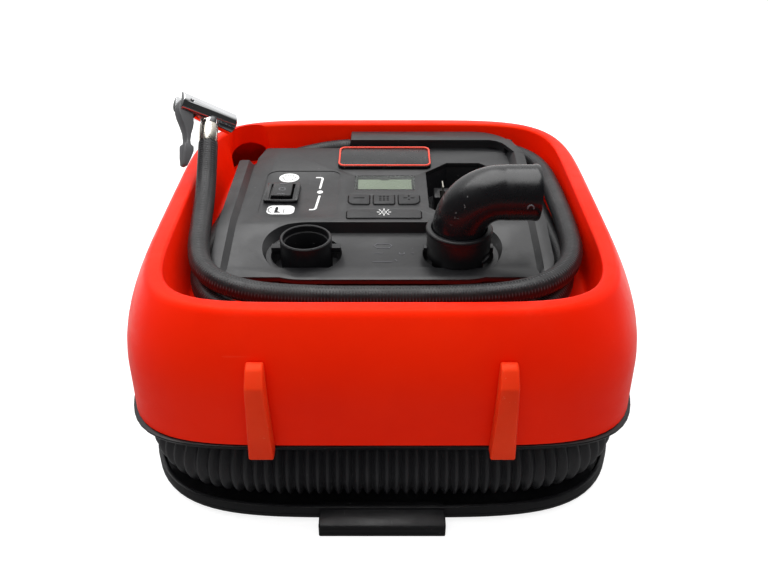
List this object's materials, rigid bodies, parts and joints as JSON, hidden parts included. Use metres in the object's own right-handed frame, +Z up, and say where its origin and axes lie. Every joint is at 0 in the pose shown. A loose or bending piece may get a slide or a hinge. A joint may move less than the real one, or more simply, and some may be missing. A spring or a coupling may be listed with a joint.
{
  "type": "tyre inflator with gauge",
  "caption": "Rounded square portable air pump: orange tray shell on a black base, display panel, ports with an elbow, corrugated hose below, tyre hose with lever chuck.",
  "frame": {"origin": "centre of the bounding box at the table, without the tyre hose and its chuck", "axes": "+Z up, +X right as seen from the front, front faces -Y"},
  "size_m": [0.304, 0.3034, 0.1982],
  "materials": {
    "orange_shell": "satin moulded",
    "frosted_red": "frosted, slightly see-through",
    "black_plastic": "satin moulded",
    "panel_grey": "fine grained",
    "soft_rubber": "matt",
    "hose_rubber": "ribbed satin",
    "chrome_plate": "polished",
    "nickel": "satin nickel",
    "bright_steel": "plain",
    "clear_window": "clear",
    "display": "grey-green display",
    "white_plastic": "plain",
    "board_green": "solder mask",
    "brass": "machined",
    "cast_alloy": "die cast"
  },
  "bodies": {
    "housing": {"upper_shell": "orange_shell", "stand_foot_left": "frosted_red", "stand_foot_right": "frosted_red", "base_pan": "black_plastic", "mid_frame": "black_plastic", "control_panel": "panel_grey", "badge_plate": "panel_grey", "rubber_foot_1": "soft_rubber", "rubber_foot_2": "soft_rubber", "rubber_foot_3": "soft_rubber", "rubber_foot_4": "soft_rubber", "battery_dock": "black_plastic", "terminal_block": "black_plastic", "terminal_blade_1": "nickel", "terminal_blade_2": "nickel", "gauge_window": "clear_window", "lcd_panel": "display", "backlight_panel": "white_plastic", "control_board": "board_green", "pressure_sensor": "black_plastic", "rocker_bezel": "black_plastic", "deflate_port": "black_plastic", "inflate_port": "black_plastic", "hose_gland": "black_plastic", "tyre_hose": "hose_rubber", "hose_ferrule": "nickel", "chuck_body": "chrome_plate", "chuck_seal": "soft_rubber", "lever_pin": "bright_steel", "corrugated_hose": "hose_rubber", "hose_cuff_left": "black_plastic", "hose_cuff_right": "black_plastic", "hose_spigot": "black_plastic", "pump_frame": "cast_alloy", "pump_motor": "bright_steel", "pump_cylinder": "cast_alloy", "cylinder_head": "cast_alloy", "air_pipe": "soft_rubber", "blower_housing": "black_plastic", "blower_cover": "black_plastic", "blower_motor": "bright_steel", "case_screw_1": "bright_steel", "case_screw_2": "bright_steel", "case_screw_3": "bright_steel", "case_screw_4": "bright_steel"},
    "key_minus": {"key_minus": "panel_grey"},
    "key_unit": {"key_unit": "panel_grey"},
    "key_plus": {"key_plus": "panel_grey"},
    "key_light": {"key_light": "panel_grey"},
    "mode_rocker": {"mode_rocker": "black_plastic"},
    "nozzle_seat": {"nozzle_seal": "soft_rubber"},
    "nozzle": {"nozzle_collar": "black_plastic", "nozzle_elbow": "black_plastic"},
    "chuck_lever": {"chuck_lever": "black_plastic"},
    "motor_pinion": {"motor_pinion": "brass"},
    "crank_gear": {"crank_gear": "white_plastic"},
    "pump_piston": {"pump_piston": "cast_alloy"},
    "blower_impeller": {"blower_impeller": "panel_grey"}
  },
  "joints": [
    {"name": "mode_rocker_tilt", "type": "hinge", "parent": "housing", "child": "mode_rocker", "pos_m": [-0.0702, 0.0286, 0.1385], "axis": [1, 0, 0], "range_deg": [-10, 10]},
    {"name": "key_minus_press", "type": "slide", "parent": "housing", "child": "key_minus", "axis": [0, 0, -1], "range_m": [0, 0.0008], "stiffness_N_per_m": 400},
    {"name": "key_unit_press", "type": "slide", "parent": "housing", "child": "key_unit", "axis": [0, 0, -1], "range_m": [0, 0.0008], "stiffness_N_per_m": 400},
    {"name": "key_plus_press", "type": "slide", "parent": "housing", "child": "key_plus", "axis": [0, 0, -1], "range_m": [0, 0.0008], "stiffness_N_per_m": 400},
    {"name": "key_light_press", "type": "slide", "parent": "housing", "child": "key_light", "axis": [0, 0, -1], "range_m": [0, 0.0008], "stiffness_N_per_m": 400},
    {"name": "nozzle_lift", "type": "slide", "parent": "housing", "child": "nozzle_seat", "axis": [0, 0, 1], "range_m": [0, 0.06]},
    {"name": "nozzle_twist", "type": "hinge", "parent": "nozzle_seat", "child": "nozzle", "pos_m": [0.047, -0.0388, 0.1398], "axis": [0, 0, 1], "range_deg": [0, 35]},
    {"name": "chuck_lever_lift", "type": "hinge", "parent": "housing", "child": "chuck_lever", "pos_m": [-0.13249, 0.05416, 0.18884], "axis": [-0.7003, 0.3954, -0.5943], "range_deg": [0, 90]},
    {"name": "crank_gear_spin", "type": "hinge", "parent": "housing", "child": "crank_gear", "pos_m": [-0.02, 0.0047, 0.036], "axis": [0, 1, 0], "continuous": true},
    {"name": "motor_pinion_spin", "type": "hinge", "parent": "housing", "child": "motor_pinion", "pos_m": [0.005, 0.0047, 0.036], "axis": [0, 1, 0], "continuous": true},
    {"name": "pump_piston_stroke", "type": "slide", "parent": "housing", "child": "pump_piston", "axis": [-1, 0, 0], "range_m": [0, 0.016]},
    {"name": "blower_impeller_spin", "type": "hinge", "parent": "housing", "child": "blower_impeller", "pos_m": [0, -0.0388, 0.08], "axis": [0, 0, 1], "continuous": true}
  ],
  "couplings": [
    {"joint": "motor_pinion_spin", "follows": "crank_gear_spin", "ratio": -4}
  ]
}
